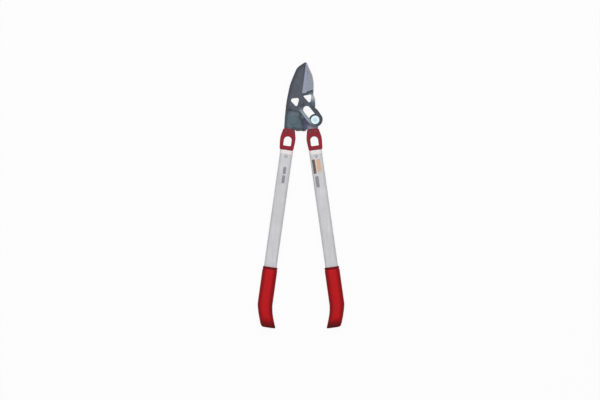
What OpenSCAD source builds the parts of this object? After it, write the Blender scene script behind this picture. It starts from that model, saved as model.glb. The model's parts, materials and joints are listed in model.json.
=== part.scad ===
// Anvil lopper lying flat with its jaws closed, sizes in millimetres and degrees.
// X runs across the handles, Y from the grips to the tip, Z up from the ground it lies on.
// The origin is on the ground under the middle of the whole tool.
// A pin on the right handle runs in a straight slot in the blade's tail. The lever pivot is as far
// from the main pivot as from the pin, so the blade turns at half the handle's speed.

/* [Overall] */
// Length from the tip to the ends of the grips
overall_l = 750; // [650:5:850]
// Distance between the handle axes at the top of the couplings
spread = 64; // [60:1:72]
// Outward tilt of each handle
tilt = 8; // [6:0.5:10]

/* [Jaws] */
// Distance from the main pivot to the tip
jaw_l = 115; // [105:1:125]
// Distance from the main pivot down to the tops of the couplings
neck_l = 72; // [70:1:80]
// Distance of the main pivot to the right of the middle
pivot_x = 2; // [0:0.5:4]
// Thickness of the blade
blade_t = 4.5; // [3.5:0.1:6]
// Width of the ground bevel on each side of the edge
bevel_w = 10; // [6:0.5:12]
// Thickness left at the cutting edge
edge_t = 0.6; // [0.4:0.1:1]
// Thickness of the anvil frame
frame_t = 7; // [5:0.5:9]
// Height of the anvil shoe above the frame
shoe_h = 14; // [12:0.5:16]
// Setback of the frame's jaw behind the shoe's face
jaw_inset = 1.5; // [0.5:0.5:3]

/* [Slot drive] */
// Distance from the main pivot to the drive pin when the jaws are closed
slot_reach = 60; // [56:1:64]
// Slope of the slot below the X axis when the jaws are closed
slot_angle = 51; // [46:1:54]
// Distance of the lever pivot from the slot's axis
crank_off = 20.5; // [19:0.5:24]
// Angle through which the right handle opens
handle_open = 65; // [50:1:70]
// Diameter of the roller in the slot
roller_d = 19.5; // [17:0.5:20]
// Play between the roller and each side of the slot
roller_play = 0.4; // [0.3:0.05:0.6]
// Width of the blade's rim around the slot
rim_w = 10; // [8:0.1:14]
// Thickness of the drive lever
lever_t = 6; // [5:0.5:8]
// Thickness of the lever's tang in the coupling
lever_tang_t = 3.6; // [3:0.2:4.5]

/* [Couplings] */
// Length of a coupling
coupling_l = 60; // [54:1:70]
// Width of a coupling
coupling_w = 44; // [42:1:48]
// Distance of a coupling outwards from its tube's axis
coupling_off = 1.2; // [0:0.1:2]
// Thickness of a coupling
coupling_t = 24; // [22:0.5:28]
// Width of the arched window
window_w = 22; // [16:1:24]
// Height of the arched window
window_h = 27; // [22:1:30]
// Thickness of the bar below the window
window_bar = 12; // [10:0.5:16]
// Distance of the window outwards from the handle's axis
window_off = 1; // [0:0.5:2]
// Width of the tangs in the couplings
tang_w = 26; // [22:1:32]
// Depth of the tangs in the couplings
tang_l = 16; // [12:1:17]
// Length of the spigot inside the tube
spigot_l = 34; // [24:1:45]

/* [Handles] */
// Width of the flat-oval tube
tube_w = 36; // [34:0.5:38]
// Thickness of the flat-oval tube
tube_t = 18; // [16:0.5:20]
// Wall of the tube
tube_wall = 1.5; // [1:0.1:2]
// Depth of the tube inside the grip
tube_in = 90; // [60:1:94]
// Length of the plug in the tube's end
plug_l = 14; // [8:1:25]
// Length of the grip along Y
grip_l = 174; // [160:1:190]
// Width of the grip
grip_w = 42.5; // [41:0.5:50]
// Thickness of the grip
grip_t = 28; // [26:0.5:32]
// Inward sweep of the grip's end
grip_sweep = 18.5; // [12:0.1:24]

/* [Fasteners] */
// Diameter of the main pivot bolt
bolt_d = 9; // [8:0.5:10]
// Diameter of the bolt's round head
bolt_head_d = 14; // [12:0.5:16]
// Height of the bolt's head
bolt_head_h = 4.5; // [3:0.5:6]
// Width across the corners of the main nut
nut_d = 16; // [14:0.5:18]
// Height of the main nut
nut_h = 6; // [5:0.5:7]
// Diameter of the main washers
washer_d = 16; // [14:0.5:18]
// Thickness of every washer
washer_t = 1.2; // [0.8:0.1:1.6]
// Diameter of the lever pin and of the drive pin
pin_d = 8; // [7:0.5:10]
// Diameter of the lever pin's head
pin_head_d = 15; // [13:0.5:18]
// Height of the lever pin's head
pin_head_h = 3.5; // [2:0.5:5]
// Diameter of the pale washer over the roller
cover_d = 24; // [21.5:0.5:27]
// Wall of the pivot bushes
bush_wall = 1.6; // [1.2:0.1:2.2]
// Diameter of the coupling rivets and tube rivets
rivet_d = 6; // [5:0.5:7]
// Diameter of the tube rivets' heads
rivet_head_d = 10; // [8:0.5:12]
// Height of the tube rivets' heads
rivet_head_h = 1.2; // [0.8:0.1:1.6]
// Diameter of the shoe screws
screw_d = 5; // [4:0.5:5.5]
// Depth of the shoe screws in the shoe
screw_in = 8; // [5:0.5:10]

/* [Fits] */
// Gap between pieces that move past each other
run_gap = 0.3; // [0.25:0.05:0.4]
// Radial clearance of a pin in its bush
pin_play = 0.05; // [0.03:0.01:0.08]
// Gap between pieces that are fixed to each other
seat_gap = 0.1; // [0.05:0.05:0.2]
// Radial clearance of a pressed piece
press_gap = 0.02; // [0.01:0.01:0.04]

/* [Hidden] */
$fn = 64;

// Every cut runs past its piece by this much
overrun = 1;
// Largest turn between two points of a rounded corner
arc_step = 4;

// Colours
dark_steel = "#565c68";
frame_grey = "#5d6e76";
anvil_grey = "#8f93a4";
bright_steel = "#b9bec6";
zinc = "#d2e3e8";
bronze = "#a8834a";
coupling_red = "#8c3a46";
tube_silver = "#cac9cc";
grip_red = "#ad1e23";
plug_black = "#26262a";

// Walls of the eyes and bosses
boss_wall = 4;
lever_eye_wall = 4.4;
drive_eye_wall = 13;
// Margin that keeps the plates behind the slot out of its opening
slot_margin = 1.3;
// Depth of the pocket that holds the lever pin's washer
pocket_depth = 2.2;
// Clearance around that washer
pocket_play = 0.5;
// Setback of every flush rivet end
flush_setback = 0.4;
// Wall of the clip over the drive pin
clip_wall = 2.5;
// Height of the round pad on the frame
pad_h = 1.8;
// Roundings
window_corner_r = 3;
tang_corner_r = 2;

// Heights of the layers above the ground
handle_z = grip_t / 2;
lever_z = coupling_t - lever_t;
frame_z = lever_z - run_gap - frame_t;
frame_top = frame_z + frame_t;
blade_z = coupling_t + run_gap;
blade_top = blade_z + blade_t;
washer_z = blade_top + run_gap;

// Places of the pivots
pivot = [pivot_x, overall_l / 2 - jaw_l];
shoulder_y = pivot[1] - neck_l;
slot_dir = [cos(slot_angle), -sin(slot_angle)];
slot_nrm = [sin(slot_angle), cos(slot_angle)];
drive_at = pivot + slot_reach * slot_dir;
lever_at = pivot + slot_reach / 2 * slot_dir - crank_off * slot_nrm;
crank_r = norm(lever_at - pivot);
open_reach = 2 * crank_r * sin(atan2(slot_reach / 2, crank_off) - handle_open / 2);

// Share of the room between the open roller and the main bush that the slot runs on into
slot_spare_share = 0.47;

// Radii that follow from the fasteners and the roller
slot_hw = roller_d / 2 + roller_play;
tail_hw = slot_hw + rim_w;
clear_hw = slot_hw + slot_margin;
boss_r = bolt_d / 2 + boss_wall;
bush_r = bolt_d / 2 + bush_wall;
near_reach = open_reach - slot_spare_share * (open_reach - slot_hw - bush_r);
lever_bush_r = pin_d / 2 + bush_wall;
lever_eye_r = lever_bush_r + lever_eye_wall;
drive_eye_r = pin_d / 2 + drive_eye_wall;
pocket_r = pin_head_d / 2;

// Outlines as shares of jaw_l measured from the main pivot: x, y and corner radius
blade_edge_shares = [[0.097, 0.261, 0.017], [0.139, 1, 0.013]];
blade_back_shares = [
    [0.07, 1, 0.04], [-0.115, 0.878, 0.26], [-0.288, 0.47, 1.3], [-0.357, 0.13, 1.3],
    [-0.4, -0.148, 0.06], [-0.13, -0.183, 0.05]
];
heel_hole_shares = [[-0.315, 0.11, 0.05], [-0.054, 0.137, 0.045], [-0.118, -0.1, 0.035]];
jaw_back_shares = [[0.162, 0.9, 0.2], [0.26, 0.69, 0.3], [0.295, 0.5, 0.6]];
jaw_tip_share = [0.153, 0.974, 0.017];
arm_shares = [[0.288, 0.261, 0.1], [0.286, 0.212, 0.06], [0.327, 0.125, 0.08], [0.335, -0.07, 0.045]];
arm_hole_shares = [[0.03, 0.19, 0.017], [0.242, 0.229, 0.03], [0.205, -0.005, 0.03]];
jaw_root_shares = [[-0.085, 0.017, 0.1], [0, 0.252, 0.07]];
shoe_heel_share = [0.292, 0.339, 0.02];
screw_shares = [[0.19, 0.68], [0.2, 0.452]];
// Shares of the edge's length at which the shoe's face begins and ends, and their corner radius
shoe_face_shares = [[0.02, 0.017], [0.98, 0.013]];

// Outlines as shares of half the spread and of neck_l, from the middle and the main pivot
frame_right_shares = [[0.75, -0.75, 0.11], [0.36, -1, 0.1]];
frame_left_shares = [[-1.43, -0.528, 1.2], [-1.345, -0.16, 0.07], [-0.24, -0.175, 0.05]];
frame_foot_shares = [[0.33, -1.095, 0.05], [-0.02, -1.07, 0.15], [-0.37, -1.085, 0.05]];
pad_share = [-0.656, -0.653, 0.174];
lever_left_share = [0.03, -0.76, 0.1];

// Places along the slot as shares of slot_reach, and widths as shares of tail_hw
tail_waist_shares = [[0.23, -0.92, 0.92], [0.7, 1.15, 0.9], [0.23, 0.83, 1], [-0.2, 0.77, 0.2]];
frame_slot_shares = [0.633, 0.175, 0.767];
frame_slot_r_share = 0.15;
lever_slot_shares = [0.42, 0.68, 0.9];
lever_slot_off_share = 0.18;
lever_slot_r_share = 0.2;

// Coupling outline as shares of coupling_w and coupling_l: half width, place and corner radius
coupling_shares = [[0.37, 0, 0.12], [0.49, -0.4, 0.9], [0.49, -0.58, 0.9], [0.44, -1, 0.11]];
shoulder_shares = [0.36, 0.385, 0.07];
lever_side_share = 0.37;
lever_lobe_shares = [-0.5, -0.1, 0.07];
tang_rivet_share = 0.3;

// Grip shape: shares of its length where it turns, of its width at the neck, and its exponents
grip_turn_share = 0.62;
grip_neck_share = 0.97;
grip_neck_at_share = 0.16;
grip_rim_share = 0.965;
grip_end_share = 0.93;
grip_rim_at_share = 0.025;
grip_sweep_power = 1.45;
grip_oval_power = 2.6;
grip_sides = 24;
grip_bend_rings = 16;

function unit(v) = v / norm(v);
function spin(v, a) = [v[0] * cos(a) - v[1] * sin(a), v[0] * sin(a) + v[1] * cos(a)];
function xy(p) = [p[0], p[1]];
function with_r(p, r) = [p[0], p[1], r];
function from_pivot(s) = with_r(pivot + jaw_l * xy(s), s[2] * jaw_l);
function from_neck(s) = [s[0] * spread / 2, pivot[1] + s[1] * neck_l, s[2] * neck_l];
function on_slot(along, off, r) = with_r(pivot + along * slot_dir + off * slot_nrm, r);
function on_tail(s) = on_slot(s[0] * slot_reach, s[1] * tail_hw, s[2] * tail_hw);
function at_right(x, y, r) = with_r([spread / 2, shoulder_y] + spin([x, y], tilt), r);
function at_left(x, y, r) = [-at_right(x, y, r)[0], at_right(x, y, r)[1], r];

// Points of one rounded corner at b, between its neighbours a and c. A corner takes up no more
// than half of each side that meets in it.
function corner(a, b, c, wanted_r) =
    let (u = unit(a - b), v = unit(c - b), way = -sign(u[0] * v[1] - u[1] * v[0]))
    wanted_r == 0 || way == 0 ? [b] :
    let (
        half = acos(u * v) / 2,
        r = min(wanted_r, tan(half) * min(norm(a - b), norm(c - b)) / 2),
        hub = b + unit(u + v) * r / sin(half),
        from = b + u * r / tan(half) - hub,
        turn = 180 - 2 * half,
        steps = ceil(turn / arc_step)
    )
    [for (i = [0 : steps]) hub + spin(from, way * turn * i / steps)];

// Outline with every corner rounded to its own radius
function rounded(p) = let (n = len(p))
    [for (i = [0 : n - 1]) each corner(xy(p[(i + n - 1) % n]), xy(p[i]), xy(p[(i + 1) % n]), p[i][2])];

// The cutting edge from its heel to the tip, and the shoe's face that it closes on
edge_ends = [for (s = blade_edge_shares) xy(from_pivot(s))];
edge_l = norm(edge_ends[1] - edge_ends[0]);
edge_dir = unit(edge_ends[1] - edge_ends[0]);
edge_out = spin(edge_dir, -90);
edge_tilt = atan2(edge_dir[1], edge_dir[0]) - 90;
function on_face(s, off) =
    with_r(edge_ends[0] + s[0] * edge_l * edge_dir + off * edge_out, s[1] * jaw_l);

// Grip: local length from its rim to its end, then width, offset and thickness along it
grip_top = (shoulder_y + overall_l / 2 - grip_l) / cos(tilt);
grip_end_x = -grip_sweep - grip_neck_share * grip_w / 2;
grip_run = (grip_l + grip_end_x * sin(tilt)) / cos(tilt);
function ease(t) = let (k = max(0, min(1, t))) k * k * (3 - 2 * k);
function past_turn(s) = max(0, (s - grip_turn_share) / (1 - grip_turn_share));
function grip_mid(s) = -grip_sweep * pow(past_turn(s), grip_sweep_power);
function grip_width(s) =
    grip_w * (1 - (1 - grip_neck_share) * ease((s - grip_turn_share) / grip_neck_at_share));
function grip_scale(s) = s == 0 ? grip_rim_share : s == 1 ? grip_end_share : 1;
grip_stations = concat(
    [0, grip_rim_at_share, grip_turn_share],
    [for (i = [1 : grip_bend_rings]) grip_turn_share + (1 - grip_turn_share) * i / grip_bend_rings]
);
function oval(a) = [
    sign(cos(a)) * pow(abs(cos(a)), 2 / grip_oval_power),
    sign(sin(a)) * pow(abs(sin(a)), 2 / grip_oval_power)
];
function grip_ring(s) = [
    for (i = [0 : grip_sides - 1]) let (p = oval(360 * i / grip_sides)) [
        grip_mid(s) + p[0] * grip_width(s) / 2 * (s == 0 ? grip_rim_share : 1),
        -grip_top - s * grip_run,
        handle_z + p[1] * grip_t / 2 * grip_scale(s)
    ]
];

// A plate from one rounded outline
module plate(z, t, outline) {
    translate([0, 0, z])
        linear_extrude(t)
            polygon(rounded(outline));
}

// A round bar or hole standing on the XY plane
module round_at(p, z, h, d) {
    translate([p[0], p[1], z])
        cylinder(h = h, d = d);
}

// A ring standing on the XY plane
module ring_at(p, z, h, d, bore) {
    difference() {
        round_at(p, z, h, d);
        round_at(p, z - overrun, h + 2 * overrun, bore);
    }
}

// Places its children on the right handle, where y = 0 is the top of the coupling
module on_right() {
    translate([spread / 2, shoulder_y, 0])
        rotate([0, 0, tilt])
            children();
}

// Places its children on the left handle, as the mirror image of the right one
module on_left() {
    mirror([1, 0, 0])
        on_right()
            children();
}

// Outline of width w with round ends of diameter t
module flat_oval(w, t) {
    square([w - t, t], center = true);
    translate([(w - t) / 2, 0])
        circle(d = t);
    translate([(t - w) / 2, 0])
        circle(d = t);
}

// A flat-oval bar that runs down the handle from y
module oval_bar(y, l, w, t) {
    translate([0, y, handle_z])
        rotate([90, 0, 0])
            linear_extrude(l)
                flat_oval(w, t);
}

// Rivet places in the coupling and in the tube, in the handle's own frame
tang_rivets = [[-tang_rivet_share * tang_w, -tang_l / 2], [tang_rivet_share * tang_w, -tang_l / 2]];
tube_rivet_at = [0, -coupling_l - spigot_l / 2];

// Wedge that grinds one bevel of the cutting edge, drawn in the XZ plane and run along the edge
module bevel(side) {
    drop = (blade_t - edge_t) / 2;
    slope = drop / bevel_w;
    translate([edge_ends[0][0], edge_ends[0][1], blade_z + blade_t / 2])
        rotate([0, 0, edge_tilt])
            translate([0, edge_l + overrun, 0])
                rotate([90, 0, 0])
                    linear_extrude(edge_l + 2 * overrun)
                        polygon([
                            [-bevel_w - overrun, side * (blade_t / 2 + overrun * slope)],
                            [overrun, side * (edge_t / 2 - overrun * slope)],
                            [overrun, side * (blade_t / 2 + overrun)],
                            [-bevel_w - overrun, side * (blade_t / 2 + overrun)]
                        ]);
}

module anvil_frame() {
    jaw = concat(
        [from_pivot(jaw_tip_share)],
        [for (s = jaw_back_shares) from_pivot(s)],
        [for (s = arm_shares) from_pivot(s)]
    );
    slot_r = frame_slot_r_share * tail_hw;
    window = [
        on_slot(frame_slot_shares[0] * slot_reach, clear_hw, slot_r),
        on_slot(frame_slot_shares[1] * slot_reach, clear_hw, slot_r),
        on_slot(frame_slot_shares[1] * slot_reach, -clear_hw, slot_r),
        on_slot(frame_slot_shares[2] * slot_reach, -clear_hw, slot_r)
    ];
    lug = [
        at_left(-tang_w / 2, seat_gap, 0),
        at_left(-tang_w / 2, -tang_l, tang_corner_r),
        at_left(tang_w / 2, -tang_l, tang_corner_r),
        at_left(tang_w / 2, seat_gap, 0),
        at_left(shoulder_shares[0] * coupling_w, seat_gap, tang_corner_r)
    ];
    outline = concat(
        jaw, window,
        [for (s = frame_right_shares) from_neck(s)],
        [for (s = frame_foot_shares) from_neck(s)], lug,
        [for (s = frame_left_shares) from_neck(s)],
        [from_pivot(jaw_root_shares[0]), from_pivot(jaw_root_shares[1])],
        [on_face(shoe_face_shares[0], run_gap + jaw_inset)]
    );
    pad = from_neck(pad_share);
    color(frame_grey)
        difference() {
            union() {
                plate(frame_z, frame_t, outline);
                round_at(pivot, frame_z, blade_z - run_gap - frame_z, 2 * boss_r);
                round_at(pad, frame_top - overrun, pad_h + overrun, 2 * pad[2]);
            }
            plate(frame_z - overrun, frame_t + 2 * overrun, [for (s = arm_hole_shares) from_pivot(s)]);
            round_at(pivot, frame_z - overrun, blade_z - frame_z + overrun, bolt_d + 2 * press_gap);
            round_at(lever_at, frame_z - overrun, frame_t + 2 * overrun, pin_d + 2 * press_gap);
            for (s = screw_shares) {
                screw_cut(pivot + jaw_l * s, press_gap);
            }
            on_left()
                for (p = tang_rivets) {
                    round_at(p, frame_z - overrun, frame_t + 2 * overrun, rivet_d + 2 * press_gap);
                }
        }
}

// Body of a countersunk shoe screw, grown by a gap where it cuts its hole
module screw_cut(p, gap) {
    head_h = screw_d / 2;
    past = gap > 0 ? overrun : 0;
    round_at(p, frame_z - past, frame_t + screw_in + past, screw_d + 2 * gap);
    translate([p[0], p[1], frame_z])
        cylinder(h = head_h, d1 = 2 * screw_d + 2 * gap, d2 = screw_d + 2 * gap);
}

module anvil_shoe() {
    outline = concat(
        [on_face(shoe_face_shares[0], run_gap), on_face(shoe_face_shares[1], run_gap)],
        [for (s = jaw_back_shares) from_pivot(s)],
        [from_pivot(shoe_heel_share)]
    );
    color(anvil_grey)
        difference() {
            plate(frame_top, shoe_h, outline);
            for (s = screw_shares) {
                round_at(pivot + jaw_l * s, frame_top - overrun, screw_in + overrun + seat_gap,
                    screw_d + 2 * press_gap);
            }
        }
}

module anvil_screws() {
    color(bright_steel)
        for (s = screw_shares) {
            screw_cut(pivot + jaw_l * s, 0);
        }
}

module main_bolt() {
    low = frame_z - washer_t - nut_h;
    head_z = washer_z + washer_t;
    crown_r = (pow(bolt_head_d / 2, 2) + pow(bolt_head_h, 2)) / (2 * bolt_head_h);
    color(bright_steel)
        union() {
            round_at(pivot, low, head_z + overrun - low, bolt_d);
            translate([pivot[0], pivot[1], head_z])
                intersection() {
                    cylinder(h = bolt_head_h, d = bolt_head_d);
                    translate([0, 0, bolt_head_h - crown_r])
                        sphere(r = crown_r);
                }
        }
}

module main_nut() {
    color(bright_steel)
        translate([pivot[0], pivot[1], frame_z - washer_t - nut_h])
            difference() {
                cylinder(h = nut_h, d = nut_d, $fn = 6);
                translate([0, 0, -overrun])
                    cylinder(h = nut_h + 2 * overrun, d = bolt_d + 2 * press_gap);
            }
}

module main_washers() {
    color(zinc) {
        ring_at(pivot, frame_z - washer_t, washer_t, washer_d, bolt_d + 2 * press_gap);
        ring_at(pivot, washer_z, washer_t, washer_d, bolt_d + 2 * press_gap);
    }
}

module lever_pin() {
    color(bright_steel)
        union() {
            round_at(lever_at, frame_z - pin_head_h, pin_head_h, pin_head_d);
            round_at(lever_at, frame_z - overrun, coupling_t - flush_setback - frame_z + overrun, pin_d);
        }
}

module lever_pin_washer() {
    color(zinc)
        ring_at(lever_at, coupling_t - pocket_depth + run_gap, washer_t,
            2 * (pocket_r - pocket_play), pin_d + 2 * press_gap);
}

module blade() {
    outline = concat(
        [for (s = blade_edge_shares) from_pivot(s)],
        [for (s = blade_back_shares) from_pivot(s)],
        [on_tail(tail_waist_shares[0])],
        [on_slot(slot_reach + tail_hw, -tail_hw, tail_hw), on_slot(slot_reach + tail_hw, tail_hw, tail_hw)],
        [for (i = [1 : 3]) on_tail(tail_waist_shares[i])]
    );
    cut_z = blade_z - overrun;
    cut_h = blade_t + 2 * overrun;
    color(dark_steel)
        difference() {
            plate(blade_z, blade_t, outline);
            bevel(1);
            bevel(-1);
            plate(cut_z, cut_h, [for (s = heel_hole_shares) from_pivot(s)]);
            round_at(pivot, cut_z, cut_h, 2 * bush_r + 2 * press_gap);
            translate([pivot[0], pivot[1], cut_z])
                rotate([0, 0, -slot_angle])
                    linear_extrude(cut_h)
                        translate([(near_reach + slot_reach) / 2, 0])
                            flat_oval(slot_reach - near_reach + 2 * slot_hw, 2 * slot_hw);
        }
}

module blade_bush() {
    color(bronze)
        ring_at(pivot, blade_z, blade_t, 2 * bush_r, bolt_d + 2 * pin_play);
}

module lever() {
    slot_off = clear_hw;
    slot_r = lever_slot_r_share * tail_hw;
    outline = [
        on_slot(lever_slot_shares[0] * slot_reach, -slot_off, 0),
        on_slot(lever_slot_shares[1] * slot_reach, -slot_off, slot_r),
        on_slot(lever_slot_shares[2] * slot_reach, -lever_slot_off_share * tail_hw, 0),
        on_slot(slot_reach, drive_eye_r / 2, 0),
        at_right(shoulder_shares[0] * coupling_w, lever_side_share * coupling_l,
            shoulder_shares[2] * coupling_w),
        at_right(shoulder_shares[1] * coupling_w, seat_gap, tang_corner_r),
        at_right(-shoulder_shares[1] * coupling_w, seat_gap, tang_corner_r),
        at_right(lever_lobe_shares[0] * coupling_w, lever_lobe_shares[1] * coupling_l,
            lever_lobe_shares[2] * coupling_w),
        from_neck(lever_left_share),
        with_r(lever_at + [-lever_bush_r, 0], 0)
    ];
    tang = [
        at_right(-tang_w / 2, seat_gap + overrun, 0),
        at_right(-tang_w / 2, -tang_l, tang_corner_r),
        at_right(tang_w / 2, -tang_l, tang_corner_r),
        at_right(tang_w / 2, seat_gap + overrun, 0)
    ];
    cut_z = lever_z - overrun;
    cut_h = lever_t + 2 * overrun;
    color(frame_grey)
        difference() {
            union() {
                plate(lever_z, lever_t, outline);
                plate(lever_z, lever_tang_t, tang);
                round_at(lever_at, lever_z, lever_t, 2 * lever_eye_r);
                round_at(drive_at, lever_z, lever_t, 2 * drive_eye_r);
            }
            round_at(lever_at, cut_z, cut_h, 2 * lever_bush_r + 2 * press_gap);
            round_at(lever_at, coupling_t - pocket_depth, pocket_depth + overrun, 2 * pocket_r);
            round_at(drive_at, cut_z, cut_h, pin_d + 2 * press_gap);
            on_right()
                for (p = tang_rivets) {
                    round_at(p, cut_z, cut_h, rivet_d + 2 * press_gap);
                }
        }
}

module lever_bush() {
    color(bronze)
        ring_at(lever_at, lever_z, lever_t - pocket_depth, 2 * lever_bush_r, pin_d + 2 * pin_play);
}

module drive_pin() {
    color(bright_steel)
        round_at(drive_at, lever_z, washer_z + 2 * washer_t + flush_setback - lever_z, pin_d);
}

module drive_roller() {
    color(bright_steel)
        ring_at(drive_at, blade_z + seat_gap, blade_t - 2 * seat_gap, roller_d, pin_d + 2 * pin_play);
}

module drive_washer() {
    color(zinc)
        ring_at(drive_at, washer_z, washer_t, cover_d, pin_d + 2 * press_gap);
}

module drive_clip() {
    color(zinc)
        ring_at(drive_at, washer_z + washer_t, washer_t, pin_d + 2 * clip_wall, pin_d + 2 * press_gap);
}

// Coupling with its arched window, spigot and a slot for a tang at height z of thickness t
module coupling(z, t) {
    half = [for (s = coupling_shares) [s[0] * coupling_w, s[1] * coupling_l, s[2] * coupling_w]];
    outline = [
        for (h = half) [coupling_off + h[0], h[1], h[2]],
        for (i = [len(half) - 1 : -1 : 0]) [coupling_off - half[i][0], half[i][1], half[i][2]]
    ];
    window_y = window_bar - coupling_l;
    window = [
        [window_off - window_w / 2, window_y, window_corner_r],
        [window_off + window_w / 2, window_y, window_corner_r],
        [window_off + window_w / 2, window_y + window_h, window_w / 2 - seat_gap],
        [window_off - window_w / 2, window_y + window_h, window_w / 2 - seat_gap]
    ];
    inner = tube_wall + seat_gap;
    color(coupling_red)
        difference() {
            union() {
                plate(0, coupling_t, outline);
                oval_bar(window_bar / 2 - coupling_l, spigot_l + window_bar / 2,
                    tube_w - 2 * inner, tube_t - 2 * inner);
            }
            plate(-overrun, coupling_t + 2 * overrun, window);
            translate([-tang_w / 2 - seat_gap, -tang_l - seat_gap, z - seat_gap])
                cube([tang_w + 2 * seat_gap, tang_l + seat_gap + overrun, t + 2 * seat_gap]);
            for (p = tang_rivets) {
                round_at(p, -overrun, coupling_t + 2 * overrun, rivet_d + 2 * press_gap);
            }
            round_at(tube_rivet_at, -overrun, coupling_t + 2 * overrun, rivet_d + 2 * press_gap);
        }
}

module left_coupling() {
    on_left()
        coupling(frame_z, frame_t);
}

module right_coupling() {
    on_right()
        coupling(lever_z, lever_tang_t);
}

module coupling_rivets() {
    color(bright_steel)
        for (p = tang_rivets) {
            round_at(p, flush_setback, coupling_t - 2 * flush_setback, rivet_d);
        }
}

module left_coupling_rivets() {
    on_left()
        coupling_rivets();
}

module right_coupling_rivets() {
    on_right()
        coupling_rivets();
}

// Handle tube from the coupling down into the grip
module tube() {
    tube_l = grip_top + tube_in - coupling_l;
    color(tube_silver)
        difference() {
            oval_bar(-coupling_l - seat_gap, tube_l - seat_gap, tube_w, tube_t);
            oval_bar(overrun - coupling_l, tube_l + 2 * overrun,
                tube_w - 2 * tube_wall, tube_t - 2 * tube_wall);
            round_at(tube_rivet_at, 0, grip_t, rivet_d + 2 * press_gap);
        }
}

module left_tube() {
    on_left()
        tube();
}

module right_tube() {
    on_right()
        tube();
}

// Rivet through the tube and the spigot, with a low head on each side
module tube_rivet() {
    low = handle_z - tube_t / 2;
    color(tube_silver)
        union() {
            round_at(tube_rivet_at, low - rivet_head_h, tube_t + 2 * rivet_head_h, rivet_d);
            round_at(tube_rivet_at, low - rivet_head_h, rivet_head_h, rivet_head_d);
            round_at(tube_rivet_at, low + tube_t, rivet_head_h, rivet_head_d);
        }
}

module left_tube_rivet() {
    on_left()
        tube_rivet();
}

module right_tube_rivet() {
    on_right()
        tube_rivet();
}

module tube_plug() {
    inner = tube_wall + seat_gap;
    color(plug_black)
        oval_bar(plug_l - grip_top - tube_in, plug_l, tube_w - 2 * inner, tube_t - 2 * inner);
}

module left_tube_plug() {
    on_left()
        tube_plug();
}

module right_tube_plug() {
    on_right()
        tube_plug();
}

// Grip lofted from oval rings, swept inwards at its end, with a socket for the tube
module grip() {
    rings = len(grip_stations);
    points = [for (s = grip_stations) each grip_ring(s)];
    sides = [
        for (k = [0 : rings - 2]) for (i = [0 : grip_sides - 1])
            let (j = (i + 1) % grip_sides, a = k * grip_sides, b = a + grip_sides)
                each [[a + i, b + i, b + j], [a + i, b + j, a + j]]
    ];
    caps = [
        [for (i = [0 : grip_sides - 1]) i],
        [for (i = [grip_sides - 1 : -1 : 0]) (rings - 1) * grip_sides + i]
    ];
    color(grip_red)
        difference() {
            polyhedron(points, concat(sides, caps));
            oval_bar(overrun - grip_top, tube_in + overrun + seat_gap,
                tube_w + 2 * seat_gap, tube_t + 2 * seat_gap);
        }
}

module left_grip() {
    on_left()
        grip();
}

module right_grip() {
    on_right()
        grip();
}

anvil_frame();
anvil_shoe();
anvil_screws();
main_bolt();
main_nut();
main_washers();
lever_pin();
lever_pin_washer();
left_coupling();
left_coupling_rivets();
left_tube();
left_tube_rivet();
left_tube_plug();
left_grip();
blade();
blade_bush();
lever();
lever_bush();
drive_pin();
drive_roller();
drive_washer();
drive_clip();
right_coupling();
right_coupling_rivets();
right_tube();
right_tube_rivet();
right_tube_plug();
right_grip();
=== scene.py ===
"""Looks of an anvil lopper that lies flat with its jaws closed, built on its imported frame.

Lengths are written in millimetres and turned to Blender's metres by MM. X runs across the
handles, Y from the grips to the tip of the jaws, and Z up from the ground.
"""
from functools import partial
import json
import math

import bmesh
import bpy
from mathutils import Matrix, Vector
from mathutils.geometry import tessellate_polygon
from mathutils.kdtree import KDTree


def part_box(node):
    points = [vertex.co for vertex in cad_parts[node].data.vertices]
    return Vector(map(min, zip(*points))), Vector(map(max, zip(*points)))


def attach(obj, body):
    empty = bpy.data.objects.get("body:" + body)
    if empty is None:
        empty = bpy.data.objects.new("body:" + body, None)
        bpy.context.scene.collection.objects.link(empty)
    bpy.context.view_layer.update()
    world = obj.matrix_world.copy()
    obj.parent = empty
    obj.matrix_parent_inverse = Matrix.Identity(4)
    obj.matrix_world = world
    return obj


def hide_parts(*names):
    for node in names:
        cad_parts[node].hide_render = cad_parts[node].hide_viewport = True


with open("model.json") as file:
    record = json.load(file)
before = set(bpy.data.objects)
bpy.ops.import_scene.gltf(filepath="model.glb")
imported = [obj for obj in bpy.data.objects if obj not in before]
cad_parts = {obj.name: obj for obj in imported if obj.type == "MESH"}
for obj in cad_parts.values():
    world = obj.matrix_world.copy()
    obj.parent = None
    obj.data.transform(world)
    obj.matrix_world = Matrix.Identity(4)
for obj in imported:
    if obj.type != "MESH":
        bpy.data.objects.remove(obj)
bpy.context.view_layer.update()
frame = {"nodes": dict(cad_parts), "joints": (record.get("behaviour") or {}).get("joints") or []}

# Camera: the tool is seen straight from above through a long lens. The picture is 600 by 400
# pixels and shows 2.82 mm to a pixel at the height of the jaws and tubes.
MM = 0.001
photo_w = 600
photo_h = 400
mm_per_px = 2.82
tool_middle_px = (301, 195.65)
sharp_level = 20
lens = 100
film_w = 36

camera = bpy.data.objects.new("camera", bpy.data.cameras.new("camera"))
bpy.context.scene.collection.objects.link(camera)
camera.data.lens = lens
camera.data.sensor_width = film_w
camera.data.clip_end = 100
camera.location = (
    (photo_w / 2 - tool_middle_px[0]) * mm_per_px * MM,
    (tool_middle_px[1] - photo_h / 2) * mm_per_px * MM,
    (sharp_level + photo_w * mm_per_px * lens / film_w) * MM,
)
bpy.context.scene.camera = camera
bpy.context.scene.view_settings.view_transform = "Standard"


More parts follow.
